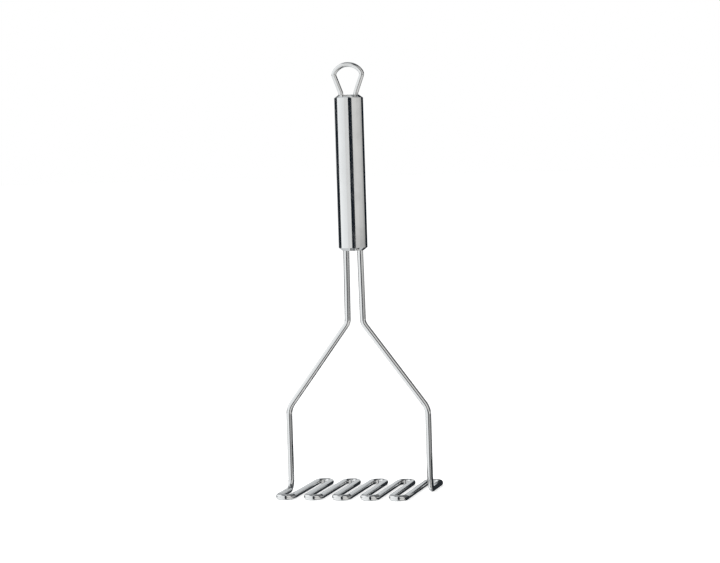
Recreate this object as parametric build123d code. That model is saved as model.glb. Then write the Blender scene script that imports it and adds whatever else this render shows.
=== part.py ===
"""A stainless steel wire potato masher, in millimetres.

One long wire makes both legs and the flat zigzag base. Its two ends go up through the bottom cap
of a hollow handle, and a bent hanging loop comes out of the top cap.
Origin: on the table, under the middle of the handle. +Z is up, +X runs from leg to leg, and the
strands of the base run along Y.
"""
from build123d import *
from math import atan2, cos, hypot, pi, sin, sqrt
import os

# Masher wire
wire_diameter = 4.0
strand_pitch = 9.6              # between the middles of two neighbouring strands
front_turns = 5                 # U-turns along the front, and as many along the back
base_depth = 74.0               # over the wire, front to back
foot_bend_radius = 7.0          # all bend radii are to the middle of the wire
lower_bend_height = 56.7
lower_bend_radius = 13.0
upper_bend_height = 114.1
upper_bend_radius = 7.5
leg_gap_at_bend = 10.5          # between the middles of the two legs
leg_gap_in_handle = 9.2

# Handle
handle_bottom = 162.5
handle_length = 103.3
handle_diameter = 19.3
handle_wall = 0.8
bevel_height = 2.0
bevel_width = 2.7
spigot_depth = 3.0              # the part of a cap that sits inside the tube
spigot_clearance = 0.05
wire_hole_clearance = 0.1
leg_insert = 14.0               # how far the wire reaches into the handle

# Hanging loop
loop_wire_diameter = 3.2
loop_height = 21.7              # above the handle, over the wire
loop_width = 22.2               # over the wire
loop_top_radius = 10.8
loop_corner_radius = 3.0
loop_leg_gap = 10.2
loop_neck_height = 1.3          # where the upright ends bend outwards
loop_neck_radius = 4.0
loop_insert = 12.0

# Weld beads on the inner faces of the caps
bead_leg = 1.0
bead_clearance = 0.05

wire_radius = wire_diameter / 2
handle_radius = handle_diameter / 2
tube_inner_radius = handle_radius - handle_wall
handle_top = handle_bottom + handle_length
strand_count = 2 * front_turns + 1


def half_base_width():
    """From the middle of the base to the middle of a lower leg."""
    return strand_pitch * (strand_count - 1) / 2


def leg_offset(height):
    """How far the middle of an upper leg is from the handle's axis at a height."""
    insert_top = handle_bottom + leg_insert
    share = (height - upper_bend_height) / (insert_top - upper_bend_height)
    gap = leg_gap_at_bend + share * (leg_gap_in_handle - leg_gap_at_bend)
    return gap / 2


def leg_edges(side):
    """One leg, from inside the handle to the end of its half strand. side is -1 left, 1 right."""
    insert_top = handle_bottom + leg_insert
    strand_x = side * half_base_width()
    strand_end = base_depth / 2 - wire_radius - strand_pitch / 2
    points = [
        (side * leg_offset(insert_top), 0, insert_top),
        (side * leg_offset(upper_bend_height), 0, upper_bend_height),
        (strand_x, 0, lower_bend_height),
        (strand_x, 0, wire_radius),
        (strand_x, side * strand_end, wire_radius),
    ]
    radii = [upper_bend_radius, lower_bend_radius, foot_bend_radius]
    return FilletPolyline(*points, radius=radii).edges()


def turn_edge(middle_x, side):
    """A U-turn between two strands. side is -1 at the front, 1 at the back."""
    turn_radius = strand_pitch / 2
    strand_end = side * (base_depth / 2 - wire_radius - turn_radius)
    apex = strand_end + side * turn_radius
    return ThreePointArc(
        (middle_x - turn_radius, strand_end, wire_radius),
        (middle_x, apex, wire_radius),
        (middle_x + turn_radius, strand_end, wire_radius),
    ).edge()


def masher_wire():
    """The legs and the zigzag base, one unbroken wire."""
    strand_end = base_depth / 2 - wire_radius - strand_pitch / 2
    edges = list(leg_edges(-1)) + list(leg_edges(1))
    for index in range(strand_count - 1):
        side = -1 if index % 2 == 0 else 1
        middle_x = (index + 1 / 2) * strand_pitch - half_base_width()
        edges.append(turn_edge(middle_x, side))
    for index in range(1, strand_count - 1):
        strand_x = index * strand_pitch - half_base_width()
        front = (strand_x, -strand_end, wire_radius)
        back = (strand_x, strand_end, wire_radius)
        edges.append(Line(front, back).edge())
    path = Wire(edges)
    section = Plane(origin=path @ 0, z_dir=path % 0) * Circle(wire_radius)
    wire = sweep(section, path=path)
    print(f"masher wire: {path.length:.1f} mm long, volume {wire.volume:.1f},"
          f" section times length {pi * wire_radius ** 2 * path.length:.1f}")
    return wire


def loop_points():
    """The hanging loop's right half, from its end in the handle up to the top."""
    wire = loop_wire_diameter / 2
    leg_x = loop_leg_gap / 2
    neck = (leg_x, handle_top + loop_neck_height)
    top = handle_top + loop_height - wire
    top_centre = top - loop_top_radius
    corner_x = loop_width / 2 - wire - loop_corner_radius
    corner_z = top_centre + sqrt((loop_top_radius - loop_corner_radius) ** 2 - corner_x ** 2)
    # The straight side runs from the neck and touches the corner's arc from inside
    run_x = corner_x - neck[0]
    run_z = corner_z - neck[1]
    reach = hypot(run_x, run_z)
    tangent = sqrt(reach ** 2 - loop_corner_radius ** 2)
    side_angle = atan2(run_z, run_x) - atan2(loop_corner_radius, tangent)
    touch = (corner_x + loop_corner_radius * sin(side_angle),
             corner_z - loop_corner_radius * cos(side_angle))
    join_angle = atan2(corner_z - top_centre, corner_x)
    join = (loop_top_radius * cos(join_angle), top_centre + loop_top_radius * sin(join_angle))
    middle_angle = (side_angle - pi / 2 + join_angle) / 2
    corner = (corner_x + loop_corner_radius * cos(middle_angle),
              corner_z + loop_corner_radius * sin(middle_angle))
    end = (leg_x, handle_top - loop_insert)
    return end, neck, touch, corner, join, (0, top)


def hanging_loop():
    """The bent wire eye on top of the handle."""
    end, neck, touch, corner, join, top = [Vector(x, 0, z) for x, z in loop_points()]
    side_edges = list(FilletPolyline(end, neck, touch, radius=[loop_neck_radius]).edges())
    side_edges.append(ThreePointArc(touch, corner, join).edge())
    across = Plane.YZ
    edges = side_edges + [edge.mirror(across) for edge in side_edges]
    edges.append(ThreePointArc(join, top, Vector(-join.X, 0, join.Z)).edge())
    path = Wire(edges)
    section = Plane(origin=path @ 0, z_dir=path % 0) * Circle(loop_wire_diameter / 2)
    loop = sweep(section, path=path)
    print(f"hanging loop: {path.length:.1f} mm long, volume {loop.volume:.1f},"
          f" section times length {pi * (loop_wire_diameter / 2) ** 2 * path.length:.1f}")
    return loop


def handle_tube():
    """The plain part of the handle, between the two bevelled caps."""
    length = handle_length - 2 * bevel_height
    ring = Circle(handle_radius) - Circle(tube_inner_radius)
    return Pos(0, 0, handle_bottom + bevel_height) * extrude(ring, amount=length)


def end_cap(hole_offset, hole_radius):
    """A turned cap, flat face up, with its shoulder at z = 0 and two wire holes."""
    spigot_radius = tube_inner_radius - spigot_clearance
    flat_radius = handle_radius - bevel_width
    outline = Polyline(
        (0, -spigot_depth),
        (spigot_radius, -spigot_depth),
        (spigot_radius, 0),
        (handle_radius, 0),
        (flat_radius, bevel_height),
        (0, bevel_height),
        close=True,
    )
    cap = revolve(Plane.XZ * make_face(outline), axis=Axis.Z)
    thickness = spigot_depth + bevel_height
    middle = (bevel_height - spigot_depth) / 2
    for side in (-1, 1):
        cap -= Pos(side * hole_offset, 0, middle) * Cylinder(hole_radius, 2 * thickness)
    return cap


def weld_beads(hole_offset, through_radius):
    """Two triangular weld rings, standing on z = 0 around two wires."""
    inner = through_radius + bead_clearance
    outline = Polyline((inner, 0), (inner + bead_leg, 0), (inner, bead_leg), close=True)
    bead = revolve(Plane.XZ * make_face(outline), axis=Axis.Z)
    return Compound(children=[Pos(side * hole_offset, 0, 0) * bead for side in (-1, 1)])


def build():
    """All pieces at their places, by node name."""
    seam_low = handle_bottom + bevel_height
    seam_high = handle_top - bevel_height
    leg_hole = leg_offset(seam_low)
    leg_bead_height = seam_low + spigot_depth
    leg_bead = leg_offset(leg_bead_height + bead_leg)
    loop_hole = loop_leg_gap / 2
    loop_radius = loop_wire_diameter / 2
    leg_hole_radius = wire_radius + wire_hole_clearance
    loop_hole_radius = loop_radius + wire_hole_clearance
    turned_over = Rot(180, 0, 0)
    bottom_cap = turned_over * end_cap(leg_hole, leg_hole_radius)
    top_beads = turned_over * weld_beads(loop_hole, loop_radius)
    return {
        "masher_wire": masher_wire(),
        "handle_tube": handle_tube(),
        "bottom_end_cap": Pos(0, 0, seam_low) * bottom_cap,
        "top_end_cap": Pos(0, 0, seam_high) * end_cap(loop_hole, loop_hole_radius),
        "hanging_loop": hanging_loop(),
        "leg_weld_beads": Pos(0, 0, leg_bead_height) * weld_beads(leg_bead, wire_radius),
        "loop_weld_beads": Pos(0, 0, seam_high - spigot_depth) * top_beads,
    }


os.makedirs("parts", exist_ok=True)
for name, piece in build().items():
    export_step(piece, f"parts/{name}.step")
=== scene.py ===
# %% [markdown]
# # A wire potato masher in polished steel
#
# The real masher is bent and welded from stainless steel and then polished all over. One long wire
# makes the legs and the zigzag base, a hollow round handle takes its ends, and a bent loop on top
# hangs it on a hook. There is no paint, plastic or cloth, so the look comes from three things:
# exact round shapes, a fine polish, and a studio that is worth reflecting.
#
# The imported CAD model is loaded first, because every new piece lies exactly where its CAD node is.

# %% Load the imported model
from math import asin, atan2, cos, hypot, pi, radians, sin, sqrt, tau

import bmesh
import bpy
from mathutils import Matrix, Vector


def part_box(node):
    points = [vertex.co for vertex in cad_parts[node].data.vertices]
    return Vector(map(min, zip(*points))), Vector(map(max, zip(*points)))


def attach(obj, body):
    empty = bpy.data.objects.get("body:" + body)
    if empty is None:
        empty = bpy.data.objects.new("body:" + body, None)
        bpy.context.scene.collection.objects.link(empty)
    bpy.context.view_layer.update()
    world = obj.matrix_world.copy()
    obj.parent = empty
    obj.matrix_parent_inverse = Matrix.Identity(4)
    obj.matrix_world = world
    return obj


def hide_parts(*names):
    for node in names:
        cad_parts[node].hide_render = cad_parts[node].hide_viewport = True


mm = 0.001                       # Blender's sizes are in metres
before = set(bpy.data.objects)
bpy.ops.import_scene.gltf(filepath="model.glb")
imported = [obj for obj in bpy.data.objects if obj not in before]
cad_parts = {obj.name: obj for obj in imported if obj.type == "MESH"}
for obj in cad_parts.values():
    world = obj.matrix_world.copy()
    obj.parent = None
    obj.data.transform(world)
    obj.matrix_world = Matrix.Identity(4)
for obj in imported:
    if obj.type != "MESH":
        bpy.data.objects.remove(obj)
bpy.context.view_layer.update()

# %% [markdown]
# ## The camera
#
# The photograph looks slightly down on the masher, a little from its right, and the masher leans
# about two degrees to the left in it. Three angles describe that view: an azimuth, an elevation,
# and a roll about the camera's own axis, as if the photographer held it a little askew. The lens
# points straight at the middle of the picture, so it needs no shift. The directions of the view
# are kept, because the studio further down is laid out round them.

# %% Place the camera
def add_object(name, data):
    """A new object in the scene, at the origin."""
    thing = bpy.data.objects.new(name, data)
    bpy.context.collection.objects.link(thing)
    return thing


camera_azimuth = radians(14.39)
camera_elevation = radians(3.63)
camera_roll = radians(1.76)
camera_distance = 1.5
lens_length = 112.5              # millimetres, on a sensor that is 36 wide
look_at_height = 0.1416
look_at_side = 0.0039

view_right = Vector((cos(camera_azimuth), sin(camera_azimuth), 0))
view_back = Vector((
    sin(camera_azimuth) * cos(camera_elevation),
    -cos(camera_azimuth) * cos(camera_elevation),
    sin(camera_elevation),
))
level_back = Vector((view_back.x, view_back.y, 0)).normalized()
view_up = view_back.cross(view_right)
rolled_right = view_right * cos(camera_roll) - view_up * sin(camera_roll)
rolled_up = view_right * sin(camera_roll) + view_up * cos(camera_roll)
look_at = view_right * look_at_side + Vector((0, 0, look_at_height))

camera_data = bpy.data.cameras.new("Camera")
camera_data.lens = lens_length
camera = add_object("Camera", camera_data)
camera.location = look_at + view_back * camera_distance
camera.rotation_euler = Matrix((rolled_right, rolled_up, view_back)).transposed().to_euler()
bpy.context.scene.camera = camera
bpy.context.scene.view_settings.view_transform = "Standard"

# %% [markdown]
# ## Sizes
#
# Where a size can be read from a CAD node's box, it is, so that the new pieces follow the frame if
# the CAD changes. What a box doesn't show is written out: the wires' thickness, their bends and
# gaps, the number of turns, and the wall, bevels and clearances of the handle.

# %% Sizes read from the frame
tube_low, tube_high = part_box("handle_tube")
top_cap_low, top_cap_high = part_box("top_end_cap")
loop_low, loop_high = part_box("hanging_loop")
masher_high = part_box("masher_wire")[1]
bottom_cap_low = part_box("bottom_end_cap")[0]

handle_radius = tube_high.x
handle_top = top_cap_high.z
handle_bottom = bottom_cap_low.z
bevel_height = top_cap_high.z - tube_high.z
spigot_depth = tube_high.z - top_cap_low.z
handle_length = handle_top - handle_bottom
print(f"handle in mm: {2 * handle_radius / mm:.2f} across, {handle_length / mm:.1f} long")

# %% Sizes of the bent wires and the handle's edges
wire_radius = 2.0 * mm
front_turns = 5
foot_bend_radius = 7.0 * mm
lower_bend_height = 56.7 * mm
lower_bend_radius = 13.0 * mm
upper_bend_height = 114.1 * mm
upper_bend_radius = 7.5 * mm
leg_gap_at_bend = 10.5 * mm
leg_gap_in_handle = 9.2 * mm

loop_wire_radius = 1.6 * mm
loop_top_radius = 10.8 * mm
loop_corner_radius = 3.0 * mm
loop_leg_gap = 10.2 * mm
loop_neck_height = 1.3 * mm
loop_neck_radius = 4.0 * mm

handle_wall = 0.8 * mm
bevel_width = 2.7 * mm
bevel_rounding = 0.3 * mm
spigot_clearance = 0.05 * mm
wire_hole_clearance = 0.1 * mm

strand_count = 2 * front_turns + 1
half_base_width = masher_high.x - wire_radius
strand_pitch = 2 * half_base_width / (strand_count - 1)
turn_apex = masher_high.y - wire_radius
leg_top = masher_high.z
print(f"base: {strand_count} strands, {strand_pitch / mm:.2f} mm apart")

# %% [markdown]
# ## Small helpers for node trees
#
# Materials, the world and Geometry Nodes are all built from nodes here, and a few short helpers
# keep that readable. Each node is one call that names its kind, its inputs and its settings, and
# an input takes a plain value or another node's output. The last helper opens a node group, whose
# sockets are listed by name and type.

# %% Node helpers
def fill_inputs(tree, node, inputs):
    """Fills a node's inputs by name or number: outputs are linked, plain values written."""
    for name, value in inputs.items():
        if isinstance(value, bpy.types.NodeSocket):
            tree.links.new(value, node.inputs[name])
        else:
            node.inputs[name].default_value = value


def add_node(tree, kind, inputs=None, **settings):
    """A new node of that kind, with its settings and its inputs."""
    node = tree.nodes.new(kind)
    for name, value in settings.items():
        setattr(node, name, value)
    fill_inputs(tree, node, inputs or {})
    return node


def maths(tree, operation, *values, clamp=False):
    """A Math node's output for up to three values or links."""
    inputs = dict(enumerate(values))
    return add_node(tree, "ShaderNodeMath", inputs, operation=operation, use_clamp=clamp).outputs[0]


def smooth_step(tree, value, start, end):
    """0 below start, 1 above end and a soft ramp between them."""
    inputs = {"Value": value, "From Min": start, "From Max": end}
    node = add_node(tree, "ShaderNodeMapRange", inputs, interpolation_type="SMOOTHSTEP")
    return node.outputs["Result"]


def mix_colours(tree, share, first, second):
    """The first colour where share is 0, and the second where it is 1."""
    inputs = {"Factor": share, "A": first, "B": second}
    return add_node(tree, "ShaderNodeMix", inputs, data_type="RGBA").outputs["Result"]


def colour_ramp(tree, share, stops):
    """The colour at a share from 0 to 1, between stops of (position, colour)."""
    node = add_node(tree, "ShaderNodeValToRGB", {"Fac": share})
    elements = node.color_ramp.elements
    elements.remove(elements[1])
    for index, (position, colour) in enumerate(stops):
        element = elements[0] if index == 0 else elements.new(position)
        element.position = position
        element.color = colour
    return node.outputs["Color"]


def new_group(tree_kind, name, inputs, outputs):
    """A node group with named and typed sockets, and what its entry node gives."""
    tree = bpy.data.node_groups.new(name, tree_kind)
    for in_out, sockets in (("INPUT", inputs), ("OUTPUT", outputs)):
        for title, kind in sockets.items():
            tree.interface.new_socket(title, in_out=in_out, socket_type=f"NodeSocket{kind}")
    return tree, add_node(tree, "NodeGroupInput").outputs


# %% [markdown]
# ## The polish, as a shared effect
#
# Polished steel isn't a perfect mirror. The polishing wheel leaves very fine lines, and they make
# highlights slightly soft in one direction. One node group makes these lines for every piece:
# noise that is stretched a hundred times or more. The lines follow z of the place that the group
# reads. A straight handle can give it Object coordinates, a bent wire gives it the place that the
# point would have if the wire were pulled straight, and a turned cap gives it the distance from the
# axis alone, which makes rings.

# %% Node group: polishing lines
def polishing_lines():
    """Fine lines along z, from 0 to 1."""
    inputs = {"Place": "Vector", "Line width": "Float", "Line length": "Float"}
    tree, entry = new_group("ShaderNodeTree", "Polishing lines", inputs, {"Lines": "Float"})
    across = maths(tree, "DIVIDE", 1.0, entry["Line width"])
    along = maths(tree, "DIVIDE", 1.0, entry["Line length"])
    stretch = add_node(tree, "ShaderNodeCombineXYZ", {"X": across, "Y": across, "Z": along})
    place = add_node(tree, "ShaderNodeVectorMath", {
        0: entry["Place"],
        1: stretch.outputs["Vector"],
    }, operation="MULTIPLY")
    noise = add_node(tree, "ShaderNodeTexNoise", {
        "Vector": place.outputs["Vector"],
        "Scale": 1.0,
        "Detail": 3.0,
        "Roughness": 0.6,
    })
    # Nearly all of the noise lies between these two values
    faintest, strongest = 0.3, 0.7
    lines = smooth_step(tree, noise.outputs["Fac"], faintest, strongest)
    add_node(tree, "NodeGroupOutput", {"Lines": lines})
    return tree


# %% [markdown]
# ## Handling, as a second shared effect
#
# A kitchen tool is held, washed and dried many times. That leaves faint cloudy patches where the
# polish is a little duller, and a few hair scratches that cross the polishing lines. Both are
# masks that change over the surface, so they belong in a group; how strongly they act is decided
# in each material, because the handle is touched more than the wires. The scratches are the thin
# edges of large tilted Voronoi cells, and they show only in the most worn places, which breaks
# them up into single strokes.

# %% Node group: handling marks
scratch_tilt = (0.5, 0.9, 0.2)
scratch_stretch = (1.0, 1.0, 0.35)
scratch_width = 0.012            # as a share of a cell
patchy_from, patchy_to = 0.42, 0.68
worn_from, worn_to = 0.5, 0.7


def handling_marks():
    """Cloudy patches and hair scratches, each from 0 to 1."""
    inputs = {"Place": "Vector", "Patch size": "Float", "Scratch spacing": "Float"}
    outputs = {"Patches": "Float", "Scratches": "Float"}
    tree, entry = new_group("ShaderNodeTree", "Handling marks", inputs, outputs)
    clouds = add_node(tree, "ShaderNodeTexNoise", {
        "Vector": entry["Place"],
        "Scale": maths(tree, "DIVIDE", 1.0, entry["Patch size"]),
        "Detail": 4.0,
        "Distortion": 0.6,
    }).outputs["Fac"]
    tilted = add_node(tree, "ShaderNodeMapping", {
        "Vector": entry["Place"],
        "Rotation": scratch_tilt,
        "Scale": scratch_stretch,
    })
    cells = add_node(tree, "ShaderNodeTexVoronoi", {
        "Vector": tilted.outputs["Vector"],
        "Scale": maths(tree, "DIVIDE", 1.0, entry["Scratch spacing"]),
    }, feature="DISTANCE_TO_EDGE")
    beside = smooth_step(tree, cells.outputs["Distance"], 0.0, scratch_width)
    scratch = maths(tree, "SUBTRACT", 1.0, beside)
    worn = smooth_step(tree, clouds, worn_from, worn_to)
    add_node(tree, "NodeGroupOutput", {
        "Patches": smooth_step(tree, clouds, patchy_from, patchy_to),
        "Scratches": maths(tree, "MULTIPLY", scratch, worn),
    })
    return tree


# %% [markdown]
# ## The steel itself
#
# Stainless steel is a metal with a nearly neutral colour: it reflects about four fifths of the
# light, a trace less of the blue. The three visible finishes differ only in how they get their
# place, in the size of their lines, in how bright the polish is and in how strong the marks are,
# so one function builds them. The handle and its caps are easier to polish than a bent wire, and
# are the better mirrors. The polishing lines move the roughness between two near values, patches
# and scratches add to it where they are, and lines and scratches together make the bump.

# %% Material: polished steel
line_group = polishing_lines()
marks_group = handling_marks()

steel_colour = (0.80, 0.80, 0.795, 1)
dulled_colour = (0.74, 0.74, 0.735, 1)
patch_size = 14 * mm
scratch_spacing = 9 * mm
line_roughness = 0.04            # how much rougher the steel is on a polishing line
patch_roughness = 0.06           # on a dull patch, at a wear of 1
scratch_roughness = 0.15         # on a scratch, at a wear of 1
patch_dulling = 0.5              # how far a patch goes to the dulled colour, at a wear of 1
groove_depth = 0.0005 * mm


def new_material(name):
    """A material, its node tree and its Principled BSDF."""
    material = bpy.data.materials.new(name)
    material.use_nodes = True
    return material, material.node_tree, material.node_tree.nodes["Principled BSDF"]


def polish_place(tree, coordinates, place_from):
    """The place that the polishing lines read: along a wire, round an axis, or as it is."""
    if place_from == "along":
        pulled = add_node(tree, "ShaderNodeAttribute", attribute_name="pulled_straight")
        return pulled.outputs["Vector"]
    if place_from == "turned":
        parts = add_node(tree, "ShaderNodeSeparateXYZ", {"Vector": coordinates}).outputs
        squares = [maths(tree, "MULTIPLY", parts[axis], parts[axis]) for axis in "XY"]
        distance = maths(tree, "SQRT", maths(tree, "ADD", *squares))
        return add_node(tree, "ShaderNodeCombineXYZ", {"X": distance}).outputs["Vector"]
    return coordinates


def polished_steel(name, place_from, line_width, line_length, mirror, wear):
    """Polished steel. place_from is "along", "object" or "turned", mirror its least roughness."""
    material, tree, steel = new_material(name)
    coordinates = add_node(tree, "ShaderNodeTexCoord").outputs["Object"]
    lines = add_node(tree, "ShaderNodeGroup", node_tree=line_group, inputs={
        "Place": polish_place(tree, coordinates, place_from),
        "Line width": line_width,
        "Line length": line_length,
    }).outputs["Lines"]
    marks = add_node(tree, "ShaderNodeGroup", node_tree=marks_group, inputs={
        "Place": coordinates,
        "Patch size": patch_size,
        "Scratch spacing": scratch_spacing,
    }).outputs

    line_share = maths(tree, "MULTIPLY", lines, line_roughness)
    patch_share = maths(tree, "MULTIPLY", marks["Patches"], patch_roughness * wear)
    scratch_share = maths(tree, "MULTIPLY", marks["Scratches"], scratch_roughness * wear)
    roughness = maths(tree, "ADD", maths(tree, "ADD", line_share, mirror), patch_share)
    dulling = maths(tree, "MULTIPLY", marks["Patches"], patch_dulling * wear)
    bump = add_node(tree, "ShaderNodeBump", {
        "Height": maths(tree, "SUBTRACT", lines, marks["Scratches"]),
        "Distance": groove_depth,
        "Strength": 0.5,
    })
    fill_inputs(tree, steel, {
        "Base Color": mix_colours(tree, dulling, steel_colour, dulled_colour),
        "Roughness": maths(tree, "ADD", roughness, scratch_share, clamp=True),
        "Normal": bump.outputs["Normal"],
        "Metallic": 1.0,
    })
    return material


wire_steel = polished_steel("Polished wire", "along", line_width=0.12 * mm,
                            line_length=14 * mm, mirror=0.07, wear=0.5)
handle_steel = polished_steel("Polished handle", "object", line_width=0.10 * mm,
                              line_length=30 * mm, mirror=0.05, wear=0.8)
cap_steel = polished_steel("Turned and polished cap", "turned", line_width=0.08 * mm,
                           line_length=30 * mm, mirror=0.05, wear=0.5)
print("finishes:", [finish.name for finish in (wire_steel, handle_steel, cap_steel)])

# %% [markdown]
# ## Weld metal
#
# Inside the handle, a small bead holds each wire end to the inner face of a cap. Nobody polishes a
# weld that is shut away, so it keeps its grey skin with straw and blue heat colours in soft bands.
# The colours come from one noise through a colour ramp, and a second, finer noise makes the
# ripples of the melted metal. The shape of the CAD beads is right, so they stay as they are and
# only get this finish.

# %% Material: weld metal
heat_colours = [
    # where in the noise, colour
    (0.3, (0.30, 0.29, 0.28, 1)),
    (0.5, (0.45, 0.34, 0.18, 1)),
    (0.7, (0.22, 0.26, 0.38, 1)),
]
bands_per_metre = 700.0
ripples_per_metre = 2500.0
ripple_depth = 0.1 * mm


def weld_metal():
    """Rippled grey skin with bands of heat colour."""
    material, tree, skin = new_material("Weld metal")
    coordinates = add_node(tree, "ShaderNodeTexCoord").outputs["Object"]
    heat, ripples = [
        add_node(tree, "ShaderNodeTexNoise", {"Vector": coordinates, "Scale": scale}).outputs["Fac"]
        for scale in (bands_per_metre, ripples_per_metre)
    ]
    bump = add_node(tree, "ShaderNodeBump", {"Height": ripples, "Distance": ripple_depth})
    fill_inputs(tree, skin, {
        "Base Color": colour_ramp(tree, heat, heat_colours),
        "Roughness": 0.45,
        "Normal": bump.outputs["Normal"],
        "Metallic": 1.0,
    })
    return material


bead_finish = weld_metal()
for node_name in ("leg_weld_beads", "loop_weld_beads"):
    bead_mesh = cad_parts[node_name].data
    bead_mesh.materials.clear()
    bead_mesh.materials.append(bead_finish)
    print(f"{node_name}: {bead_finish.name}")

# %% [markdown]
# ## Bending wire with Geometry Nodes
#
# A wire bender knows a wire as a list of corners and a bend radius for each. The tree below works
# in the same way: it takes a chain of corner points that carry their own bend radius, rounds every
# corner with Fillet Curve, and sweeps a circle along the result. Resample Curve then spaces the
# rings evenly, so that reflections run smoothly from a bend into a straight stretch. Writing every
# ring by hand in Python would give the same mesh, but not such a short and adjustable rule.
#
# Two attributes are stored on the way: the distance along the wire and the point on the circle.
# Together they are the point's place on the wire when it is pulled straight, and the polishing
# lines follow it round every bend.

# %% Geometry Nodes tree: bent wire
crisp_angle = radians(40)        # an edge that turns by more than this isn't shaded smooth


def bent_wire_tree():
    """A chain of corners with bend radii becomes a round wire."""
    tree, entry = new_group("GeometryNodeTree", "Bent wire", {
        "Corners": "Geometry",
        "Wire radius": "Float",
        "Steps per bend": "Int",
        "Ring spacing": "Float",
        "Sides": "Int",
        "Finish": "Material",
    }, {"Wire": "Geometry"})

    def read(name, kind):
        """The values of a named attribute."""
        node = add_node(tree, "GeometryNodeInputNamedAttribute", {"Name": name}, data_type=kind)
        return node.outputs["Attribute"]

    def store(geometry, name, kind, value):
        """The geometry with a named attribute on its points."""
        inputs = {"Geometry": geometry, "Name": name, "Value": value}
        node = add_node(tree, "GeometryNodeStoreNamedAttribute", inputs, data_type=kind,
                        domain="POINT")
        return node.outputs["Geometry"]

    chain = add_node(tree, "GeometryNodeMeshToCurve", {"Mesh": entry["Corners"]})
    rounded = add_node(tree, "GeometryNodeFilletCurve", mode="POLY", inputs={
        "Curve": chain.outputs["Curve"],
        "Radius": read("bend_radius", "FLOAT"),
        "Count": entry["Steps per bend"],
        "Limit Radius": True,
    })
    even = add_node(tree, "GeometryNodeResampleCurve", mode="LENGTH", inputs={
        "Curve": rounded.outputs["Curve"],
        "Length": entry["Ring spacing"],
    })
    distance = add_node(tree, "GeometryNodeSplineParameter").outputs["Length"]
    path = store(even.outputs["Curve"], "distance_along", "FLOAT", distance)

    circle = add_node(tree, "GeometryNodeCurvePrimitiveCircle", mode="RADIUS", inputs={
        "Resolution": entry["Sides"],
        "Radius": entry["Wire radius"],
    })
    spot = add_node(tree, "GeometryNodeInputPosition").outputs["Position"]
    profile = store(circle.outputs["Curve"], "spot_on_circle", "FLOAT_VECTOR", spot)
    tube = add_node(tree, "GeometryNodeCurveToMesh", {
        "Curve": path,
        "Profile Curve": profile,
        "Fill Caps": True,
    })
    run = add_node(tree, "ShaderNodeCombineXYZ", {"Z": read("distance_along", "FLOAT")})
    straight = add_node(tree, "ShaderNodeVectorMath", operation="ADD", inputs={
        0: read("spot_on_circle", "FLOAT_VECTOR"),
        1: run.outputs["Vector"],
    }).outputs["Vector"]
    pulled = store(tube.outputs["Mesh"], "pulled_straight", "FLOAT_VECTOR", straight)

    smooth = add_node(tree, "GeometryNodeSetShadeSmooth", {"Geometry": pulled}, domain="FACE")
    edge_turn = add_node(tree, "GeometryNodeInputMeshEdgeAngle").outputs["Unsigned Angle"]
    crisp = add_node(tree, "GeometryNodeSetShadeSmooth", domain="EDGE", inputs={
        "Geometry": smooth.outputs["Geometry"],
        "Selection": maths(tree, "GREATER_THAN", edge_turn, crisp_angle),
        "Shade Smooth": False,
    })
    real = add_node(tree, "GeometryNodeRealizeInstances", {"Geometry": crisp.outputs["Geometry"]})
    finish = add_node(tree, "GeometryNodeSetMaterial", {
        "Geometry": real.outputs["Geometry"],
        "Material": entry["Finish"],
    })
    add_node(tree, "NodeGroupOutput", {"Wire": finish.outputs["Geometry"]})
    return tree


# %% [markdown]
# A modifier's inputs are set by each socket's identifier, because two sockets may share a name.
# The evaluated result becomes a plain mesh and the modifier goes away, so what is left is ordinary
# geometry that any exporter understands. Each finished piece is measured: its volume would be
# negative if its faces pointed inwards.

# %% From corners to a finished wire
wire_tree = bent_wire_tree()


def measure(piece):
    """Prints how many faces a piece has, and its volume."""
    shape = bmesh.new()
    shape.from_mesh(piece.data)
    volume = shape.calc_volume(signed=True) / mm ** 3
    print(f"{piece.name}: {len(shape.faces)} faces, {volume:.0f} cubic mm")
    shape.free()


def bend_wire(name, corners, radii, inputs):
    """A bent wire through corner points, each with its bend radius, as a plain mesh object."""
    mesh = bpy.data.meshes.new(name)
    mesh.from_pydata(corners, [(i, i + 1) for i in range(len(corners) - 1)], [])
    mesh.attributes.new("bend_radius", "FLOAT", "POINT").data.foreach_set("value", radii)
    wire = add_object(name, mesh)
    bender = wire.modifiers.new("Bend", "NODES")
    bender.node_group = wire_tree
    for socket in wire_tree.interface.items_tree:
        if socket.name in inputs:
            bender[socket.identifier] = inputs[socket.name]
    depsgraph = bpy.context.evaluated_depsgraph_get()
    plain = bpy.data.meshes.new_from_object(wire.evaluated_get(depsgraph), depsgraph=depsgraph)
    wire.modifiers.clear()
    wire.data = plain
    plain.name = name
    measure(wire)
    return wire


# %% [markdown]
# ## The masher wire
#
# One unbroken wire: down the left leg, forwards on the table, to and fro through ten U-turns, and
# up the right leg from behind. A U-turn is simply two right-angled corners, one strand pitch
# apart, with a bend radius of half a pitch. The list of corners is therefore the two legs plus a
# loop over the U-turns.

# %% The corners of the masher wire
def leg_corners(side):
    """From inside the handle down to the table: the points of one leg and their bend radii."""
    corners = [
        (side * leg_gap_in_handle / 2, 0, leg_top),
        (side * leg_gap_at_bend / 2, 0, upper_bend_height),
        (side * half_base_width, 0, lower_bend_height),
        (side * half_base_width, 0, wire_radius),
    ]
    return corners, [0, upper_bend_radius, lower_bend_radius, foot_bend_radius]


def zigzag_corners():
    """Two corners for each U-turn, at the front and the back in turns."""
    corners = []
    for turn in range(strand_count - 1):
        side = -1 if turn % 2 == 0 else 1
        strand_x = turn * strand_pitch - half_base_width
        corners.append((strand_x, side * turn_apex, wire_radius))
        corners.append((strand_x + strand_pitch, side * turn_apex, wire_radius))
    return corners, [strand_pitch / 2] * len(corners)


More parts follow.
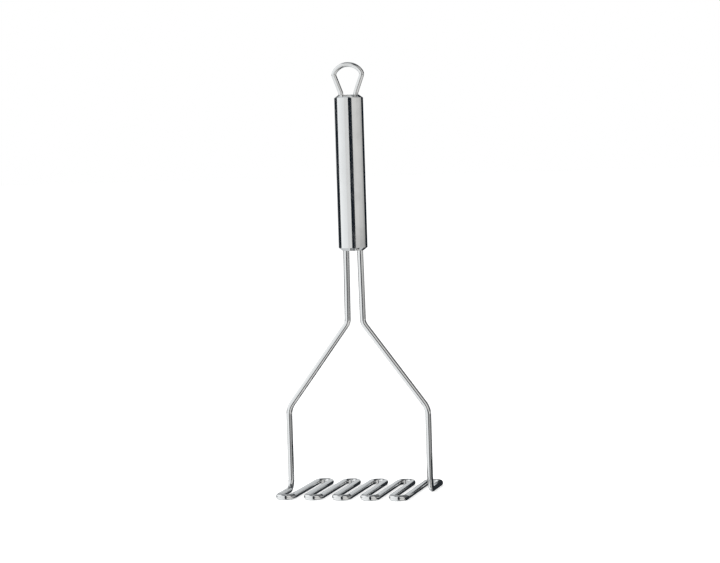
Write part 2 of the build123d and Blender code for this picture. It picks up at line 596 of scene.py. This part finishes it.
left_corners, left_radii = leg_corners(-1)
base_corners, base_radii = zigzag_corners()
right_corners, right_radii = leg_corners(1)
masher_corners = left_corners + base_corners + right_corners[::-1]
masher_radii = left_radii + base_radii + right_radii[::-1]

masher_wire = bend_wire("Masher_wire", masher_corners, masher_radii, {
    "Wire radius": wire_radius,
    "Steps per bend": 24,
    "Ring spacing": 0.5 * mm,
    "Sides": 24,
    "Finish": wire_steel,
})

# %% [markdown]
# ## The hanging loop
#
# The loop is thinner wire. Its ends stand upright in the top cap, bend outwards at the neck and
# meet over a wide arc, with a tighter bend at each shoulder. The arc is one more bend in the
# chain: its corner point lies above the loop, where the tangents at the two ends of the arc meet.

# %% The corners of the hanging loop
def loop_side_corners():
    """The neck, the shoulder's corner on the right, and the corner above the loop's top."""
    neck = Vector((loop_leg_gap / 2, handle_top + loop_neck_height))
    top_centre = loop_high.z - loop_wire_radius - loop_top_radius
    shoulder_x = loop_high.x - loop_wire_radius - loop_corner_radius
    rise = sqrt((loop_top_radius - loop_corner_radius) ** 2 - shoulder_x ** 2)
    shoulder = Vector((shoulder_x, top_centre + rise))
    # The straight side leaves the neck and touches the shoulder's circle
    run = shoulder - neck
    reach = hypot(run.x, run.y)
    side_angle = atan2(run.y, run.x) - asin(loop_corner_radius / reach)
    side_way = Vector((cos(side_angle), sin(side_angle)))
    # The top arc and the shoulder share a tangent where they meet
    join_angle = atan2(rise, shoulder_x)
    outwards = Vector((cos(join_angle), sin(join_angle)))
    apex = Vector((0, top_centre + loop_top_radius / sin(join_angle)))
    # The shoulder's corner is where the side meets that tangent
    level = loop_top_radius + outwards.y * top_centre
    along = (level - neck.dot(outwards)) / side_way.dot(outwards)
    return neck, neck + side_way * along, apex


neck_corner, shoulder_corner, apex_corner = loop_side_corners()
right_side = [
    (neck_corner.x, 0, loop_low.z),
    (neck_corner.x, 0, neck_corner.y),
    (shoulder_corner.x, 0, shoulder_corner.y),
]
left_side = [(-x, y, z) for x, y, z in right_side]
loop_corners = left_side + [(0, 0, apex_corner.y)] + right_side[::-1]
side_radii = [0, loop_neck_radius, loop_corner_radius]
loop_radii = side_radii + [loop_top_radius] + side_radii[::-1]

hanging_loop = bend_wire("Hanging_loop", loop_corners, loop_radii, {
    "Wire radius": loop_wire_radius,
    "Steps per bend": 32,
    "Ring spacing": 0.3 * mm,
    "Sides": 32,
    "Finish": wire_steel,
})

# %% [markdown]
# ## The handle
#
# The tube and its two caps are turned parts, so each is an outline that goes once round the
# handle's axis. The CAD meshes are coarse for a mirror finish: every flat would show in the
# reflections. The new pieces have 256 steps round, which no longer shows. Where the outline turns
# sharply the edge stays crisp. The tube's outline is closed, as the section of a ring is. A cap is
# solid, so its outline is open and its two ends become round faces. Meeting in a point on the axis
# instead would leave a star of thin triangles there, and the holes would have to cut through it.

# %% Turning an outline round the axis
steps_round = 256


def turned_piece(name, outline, finish, solid=False):
    """Goes round the z axis with an outline of (radius, height) points, listed anticlockwise.

    The outline of a solid piece is open, and each of its ends becomes a round face.
    """
    shape = bmesh.new()
    angles = [tau * step / steps_round for step in range(steps_round)]
    rings = []
    for radius, height in outline:
        ring = [(radius * cos(angle), radius * sin(angle), height) for angle in angles]
        rings.append([shape.verts.new(point) for point in ring])
    followers = rings[1:] if solid else rings[1:] + rings[:1]
    for ring, follower in zip(rings, followers):
        for step in range(steps_round):
            after = (step + 1) % steps_round
            corners = (ring[step], ring[after], follower[after], follower[step])
            shape.faces.new(corners).smooth = True
    if solid:
        shape.faces.new(rings[0][::-1])
        shape.faces.new(rings[-1])
    mesh = bpy.data.meshes.new(name)
    shape.to_mesh(mesh)
    shape.free()
    mesh.set_sharp_from_angle(angle=crisp_angle)
    mesh.materials.append(finish)
    return add_object(name, mesh)


# %% The handle tube
tube_inner_radius = handle_radius - handle_wall
handle_tube = turned_piece("Handle_tube", [
    (handle_radius, tube_low.z),
    (handle_radius, tube_high.z),
    (tube_inner_radius, tube_high.z),
    (tube_inner_radius, tube_low.z),
], handle_steel)
measure(handle_tube)

# %% [markdown]
# ## The end caps
#
# Each cap has a spigot that centres it in the tube, a wide bevel, and a flat face with two holes
# for the wire ends. The rim between bevel and face is rounded, because it was polished with the
# handle after welding, and its arc is part of the outline. The holes are a hair wider than the
# wires. They could be bridged by hand, ring to ring, but Boolean does the same in one step: it
# takes a round drill out of the cap.

# %% The outline of a cap
rounding_steps = 8


def cap_outline(seam, outwards):
    """A cap whose shoulder lies at the height seam. outwards is 1 for the top cap, -1 below."""
    flat_radius = handle_radius - bevel_width
    slope = atan2(bevel_height, bevel_width)
    reach = bevel_rounding * (1 - cos(slope)) / sin(slope)
    centre_radius = flat_radius - reach
    centre_height = bevel_height - bevel_rounding
    rim = []
    for step in range(rounding_steps + 1):
        angle = pi / 2 - slope * step / rounding_steps
        radius = centre_radius + bevel_rounding * cos(angle)
        rim.append((radius, centre_height + bevel_rounding * sin(angle)))
    spigot_radius = tube_inner_radius - spigot_clearance
    points = rim + [(handle_radius, 0), (spigot_radius, 0), (spigot_radius, -spigot_depth)]
    outline = [(radius, seam + outwards * height) for radius, height in points]
    return outline[::-1] if outwards > 0 else outline


# %% Caps with their wire holes
def cut_holes(cap, offset, radius, middle):
    """Cuts two upright round holes through a cap, at equal distances from its middle."""
    half_length = spigot_depth + bevel_height
    drill_outline = [(radius, middle - half_length), (radius, middle + half_length)]
    for side in (-1, 1):
        drill = turned_piece("Drill", drill_outline, cap_steel, solid=True)
        drill.data.transform(Matrix.Translation((side * offset, 0, 0)))
        cut = cap.modifiers.new("Hole", "BOOLEAN")
        cut.operation = "DIFFERENCE"
        cut.object = drill
        depsgraph = bpy.context.evaluated_depsgraph_get()
        drilled = cap.evaluated_get(depsgraph)
        cap.data = bpy.data.meshes.new_from_object(drilled, depsgraph=depsgraph)
        cap.modifiers.clear()
        bpy.data.objects.remove(drill)
    cap.data.set_sharp_from_angle(angle=crisp_angle)


def leg_offset(height):
    """How far the middle of an upper leg is from the handle's axis at a height."""
    share = (height - upper_bend_height) / (leg_top - upper_bend_height)
    return (leg_gap_at_bend + share * (leg_gap_in_handle - leg_gap_at_bend)) / 2


top_cap = turned_piece("Top_end_cap", cap_outline(tube_high.z, 1), cap_steel, solid=True)
cut_holes(top_cap, loop_leg_gap / 2, loop_wire_radius + wire_hole_clearance, tube_high.z)
measure(top_cap)
bottom_cap = turned_piece("Bottom_end_cap", cap_outline(tube_low.z, -1), cap_steel, solid=True)
cut_holes(bottom_cap, leg_offset(tube_low.z), wire_radius + wire_hole_clearance, tube_low.z)
measure(bottom_cap)

# %% [markdown]
# ## Hiding the CAD nodes that the new pieces stand for
#
# Each new piece replaces one CAD node, which is hidden, and rides on the only body.

# %% Pieces and the nodes they stand for
stand_ins = [
    (masher_wire, "masher_wire", "polished_wire"),
    (hanging_loop, "hanging_loop", "polished_wire"),
    (handle_tube, "handle_tube", "polished_tube"),
    (top_cap, "top_end_cap", "polished_tube"),
    (bottom_cap, "bottom_end_cap", "polished_tube"),
]
for piece, node_name, slot_name in stand_ins:
    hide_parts(node_name)
    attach(piece, "root")
print(f"{len(stand_ins)} pieces stand for CAD nodes")

# %% [markdown]
# ## The floor
#
# The photograph shows the masher on pure white. The floor is white paint that also glows a little
# for the camera, so that it reaches white without more light on the object. The painted share
# still darkens under the masher and keeps a faint contact shadow. The steel doesn't mirror the
# floor itself, because the studio below has whites and cards in every direction, also downwards.

# %% White floor
pure_white = (1, 1, 1, 1)
floor_paint = (0.9, 0.9, 0.9, 1)
floor_glow = 0.55
floor_half = 12.0                # metres


def white_floor():
    """White paint for all rays, with a glow on top for those that see the background."""
    material, tree, principled = new_material("White floor")
    tree.nodes.remove(principled)
    ray = add_node(tree, "ShaderNodeLightPath").outputs
    seen = maths(tree, "ADD", ray["Is Camera Ray"], ray["Is Glossy Ray"], clamp=True)
    seen = maths(tree, "ADD", seen, ray["Is Transmission Ray"], clamp=True)
    paint = add_node(tree, "ShaderNodeBsdfDiffuse", {"Color": floor_paint})
    glow = add_node(tree, "ShaderNodeEmission", {
        "Color": pure_white,
        "Strength": maths(tree, "MULTIPLY", seen, floor_glow),
    })
    both = add_node(tree, "ShaderNodeAddShader", {
        0: paint.outputs["BSDF"],
        1: glow.outputs["Emission"],
    })
    fill_inputs(tree, tree.nodes["Material Output"], {"Surface": both.outputs["Shader"]})
    return material


def flat_sheet(name, corners, finish):
    """A four-cornered sheet that belongs to the studio."""
    mesh = bpy.data.meshes.new(name)
    mesh.from_pydata(corners, [], [(0, 1, 2, 3)])
    mesh.materials.append(finish)
    sheet = add_object(name, mesh)
    return sheet


floor = flat_sheet("Floor", [
    (-floor_half, -floor_half, 0),
    (floor_half, -floor_half, 0),
    (floor_half, floor_half, 0),
    (-floor_half, floor_half, 0),
], white_floor())
floor.visible_glossy = False
print(f"floor: {2 * floor_half:.0f} m wide")

# %% [markdown]
# ## The studio that the steel reflects
#
# Polished steel has no look of its own: it shows the room. A product photographer builds that room
# from large soft whites and a few cards. Here the world does the same for glossy rays only, with
# directions in degrees, measured round the masher from the camera: 0 is towards the camera, and
# positive angles are to the right. The camera itself sees plain white, and everything else gets a
# plain even light.
#
# The whites are one ramp round the horizon, brightest at the left. It could be a handful of area
# lamps, but a ramp has no gaps between lamps, and steel shows every gap.

# %% The soft whites
soft_whites = [
    # azimuth, brightness
    (-180, 0.52),
    (-150, 0.72),
    (-128, 1.00),
    (-112, 1.12),
    (-95, 1.08),
    (-60, 0.96),
    (-30, 0.86),
    (-10, 0.80),
    (10, 0.74),
    (55, 0.74),
    (90, 0.66),
    (106, 0.52),
    (120, 0.46),
    (134, 0.38),
    (150, 0.55),
    (180, 0.75),
]
right_tint = (1.0, 1.0, 0.99)
left_tint = (0.975, 1.0, 1.015)
back_tint = (0.955, 0.99, 1.015)
back_starts_at = 130


def tinted(brightness, tint):
    """A tint at a brightness, as a colour for a node."""
    return (*[brightness * part for part in tint], 1)


def studio_whites(tree, azimuth):
    """The colour of the whites at an azimuth in degrees."""
    stops = []
    for angle, brightness in soft_whites:
        tint = right_tint if angle > 0 else left_tint
        if abs(angle) > back_starts_at:
            tint = back_tint
        stops.append(((angle + 180) / 360, tinted(brightness, tint)))
    share = maths(tree, "DIVIDE", maths(tree, "ADD", azimuth, 180.0), 360.0)
    return colour_ramp(tree, share, stops)


# %% [markdown]
# A card is a box of directions with soft borders that is mixed over the whites. All cards but one
# are black. The tallest, before the masher, makes the dark line down the middle of the handle and
# of the bent wires. Narrow ones at the camera's height sharpen the lines on the handle, low ones
# darken the underside of the wires, and those above, below and behind shade the bevels of the caps
# and the outlines of the U-turns. Each card covers the ones before it, so their order counts.

# %% The cards
black_paper = tinted(0.012, (0.65, 1.0, 1.5))
white_paper = tinted(1.06, left_tint)

studio_cards = [
    # from, to, bottom, top, softness, cover, colour
    # Before the masher
    (-62, -17, -12, -3.2, 3, 0.80, white_paper),
    (-17, 8, -90, 60, 4, 0.98, black_paper),
    # Low, for the undersides
    (8, 181, -11, -3.2, 2, 0.50, black_paper),
    (58, 150, -11, -3.2, 4, 0.45, black_paper),
    (-181, -60, -14, -5, 3, 0.10, black_paper),
    (-172, -118, -16, -4.9, 3, 0.25, black_paper),
    # Beside and behind, at the right
    (58, 140, 3, 90, 4, 0.80, black_paper),
    (118, 160, -20, 5, 3, 0.98, black_paper),
    (160, 181, -20, 0, 3, 0.98, black_paper),
    # Overhead and underneath
    (-140, 125, 58, 90, 12, 0.85, black_paper),
    # The card underneath is painted shade: the steel doesn't mirror the floor, so in the reflections
    # this card stands in for the shadowed floor under the masher.
    (-60, 60, -90, -66, 8, 0.70, black_paper),
    # Above and behind, for the top cap and the U-turns
    (-181, -157, 14, 50, 8, 0.75, black_paper),
    (143, 181, 30, 72, 8, 0.45, black_paper),
    (165, 181, 60, 80, 4, 0.85, black_paper),
    # Below and behind, for the bottom cap
    (155, 181, -80, -60, 4, 0.80, black_paper),
    (-181, -160, -80, -60, 4, 0.40, black_paper),
    # At the camera's height, for the lines on the handle
    (-6, 23, -4.2, 4, 1, 0.995, black_paper),
    (-151, -104, -4.2, 4, 1, 0.995, black_paper),
    (121, 179, -4.2, 4, 1, 0.98, black_paper),
]


def studio_card():
    """Node group: how much a card covers a direction, from 0 to 1. All its inputs are degrees."""
    angles = ("Azimuth", "Elevation", "From", "To", "Bottom", "Top", "Softness")
    inputs = dict.fromkeys(angles, "Float")
    tree, entry = new_group("ShaderNodeTree", "Studio card", inputs, {"Cover": "Float"})
    half_soft = maths(tree, "MULTIPLY", entry["Softness"], 0.5)

    def past(value, border):
        """0 before a border and 1 after it."""
        start = maths(tree, "SUBTRACT", border, half_soft)
        end = maths(tree, "ADD", border, half_soft)
        return smooth_step(tree, value, start, end)

    def between(value, low, high):
        """1 between two borders and 0 outside them."""
        return maths(tree, "SUBTRACT", past(value, low), past(value, high))

    sideways = between(entry["Azimuth"], entry["From"], entry["To"])
    upright = between(entry["Elevation"], entry["Bottom"], entry["Top"])
    add_node(tree, "NodeGroupOutput", {"Cover": maths(tree, "MULTIPLY", sideways, upright)})
    return tree


def lay_cards(tree, light, azimuth, elevation):
    """Mixes all cards over a light, one after the other."""
    card_group = studio_card()
    for start, end, bottom, top, softness, cover, colour in studio_cards:
        card = add_node(tree, "ShaderNodeGroup", node_tree=card_group, inputs={
            "Azimuth": azimuth,
            "Elevation": elevation,
            "From": start,
            "To": end,
            "Bottom": bottom,
            "Top": top,
            "Softness": softness,
        })
        covered = maths(tree, "MULTIPLY", card.outputs["Cover"], cover)
        light = mix_colours(tree, covered, light, colour)
    return light


# %% The studio world
even_light = tinted(0.62, (1, 1, 1))


def build_world():
    """The studio for reflections, white for the camera, and an even light for the rest."""
    world = bpy.data.worlds.new("Studio")
    bpy.context.scene.world = world
    world.use_nodes = True
    tree = world.node_tree
    tree.nodes.clear()
    direction = add_node(tree, "ShaderNodeTexCoord").outputs["Generated"]

    def share_along(axis):
        """How far the direction goes along an axis, from -1 to 1."""
        inputs = {0: direction, 1: axis}
        node = add_node(tree, "ShaderNodeVectorMath", inputs, operation="DOT_PRODUCT")
        return node.outputs["Value"]

    bearing = maths(tree, "ARCTAN2", share_along(view_right), share_along(level_back))
    azimuth = maths(tree, "DEGREES", bearing)
    elevation = maths(tree, "DEGREES", maths(tree, "ARCSINE", share_along((0, 0, 1))))
    studio = lay_cards(tree, studio_whites(tree, azimuth), azimuth, elevation)

    ray = add_node(tree, "ShaderNodeLightPath").outputs
    seen = maths(tree, "ADD", ray["Is Camera Ray"], ray["Is Transmission Ray"], clamp=True)
    unmirrored = mix_colours(tree, seen, even_light, pure_white)
    sky = add_node(tree, "ShaderNodeBackground", {
        "Color": mix_colours(tree, ray["Is Glossy Ray"], unmirrored, studio),
    })
    add_node(tree, "ShaderNodeOutputWorld", {"Surface": sky.outputs["Background"]})


build_world()
print(f"studio: {len(soft_whites)} whites and {len(studio_cards)} cards")

# %% [markdown]
# ## Cards close to the masher
#
# The world is infinitely far away, so its cards show on every part of the masher alike. A card for
# one part alone has to stand close to it, and is a real sheet here. A white one before the handle
# and the loop hides part of the black front card from them, and a grey one beside the loop keeps
# its right side light. Black ones darken the loop's right shoulder, the edge of the lower cap and
# the right side of the base. Only reflections see these sheets.

# %% Near cards
near_black = (0.010, 0.015, 0.021, 1)
near_white = (0.985, 1.0, 1.005, 1)


def black_card_finish():
    """Matt black paper with a trace of blue."""
    material, tree, paper = new_material("Black card")
    fill_inputs(tree, paper, {"Base Color": near_black, "Roughness": 0.9})
    return material


def bright_card_finish(name, brightness):
    """A card that glows, so that its brightness doesn't hang on the lamp."""
    material, tree, principled = new_material(name)
    tree.nodes.remove(principled)
    glow = add_node(tree, "ShaderNodeEmission", {"Color": near_white, "Strength": brightness})
    fill_inputs(tree, tree.nodes["Material Output"], {"Surface": glow.outputs["Emission"]})
    return material


def card_corner(azimuth, height, distance):
    """A point at a distance from the handle's axis, by its angle from the camera's side."""
    angle = radians(azimuth)
    spot = (level_back * cos(angle) + view_right * sin(angle)) * distance
    return (spot.x, spot.y, height)


black = black_card_finish()
white = bright_card_finish("White card", 0.80)
grey = bright_card_finish("Grey card", 0.58)
above_loop = handle_top + 90 * mm
loop_side_top = handle_top + 19 * mm
near_cards = [
    # name, from, to, distance, bottom, top, finish
    ("front", -36, -6, 0.12, handle_bottom - 7 * mm, above_loop, white),
    ("loop_side", 122, 178, 0.12, handle_top + 3 * mm, loop_side_top, grey),
    ("loop_shoulder", 128, 172, 0.12, loop_side_top, above_loop, black),
    ("lower_cap", 128, 172, 0.12, handle_bottom - 95 * mm, handle_bottom - 30 * mm, black),
    ("base", 56, 165, 0.13, -75 * mm, 17 * mm, black),
]
for card_name, start, end, distance, bottom, top, finish in near_cards:
    card = flat_sheet(f"Card_{card_name}", [
        card_corner(start, bottom, distance),
        card_corner(end, bottom, distance),
        card_corner(end, top, distance),
        card_corner(start, top, distance),
    ], finish)
    card.visible_camera = False
    card.visible_diffuse = False
    card.visible_shadow = False
print(f"{len(near_cards)} near cards")

# %% [markdown]
# ## The lamp
#
# One broad soft lamp from the upper left gives the faint shadow on the floor a direction. It isn't
# mirrored in the steel, where the studio already does the work.

# %% Soft lamp
lamp_place = Vector((-0.8, -0.7, 1.6))
lamp_data = bpy.data.lights.new("Soft_lamp", "AREA")
lamp_data.shape = "DISK"
lamp_data.size = 1.2
lamp_data.energy = 14
lamp = add_object("Soft_lamp", lamp_data)
lamp.location = lamp_place
lamp.rotation_euler = (look_at - lamp_place).to_track_quat("-Z", "Y").to_euler()
lamp.visible_glossy = False
print(f"lamp: {(look_at - lamp_place).length:.2f} m from the masher")
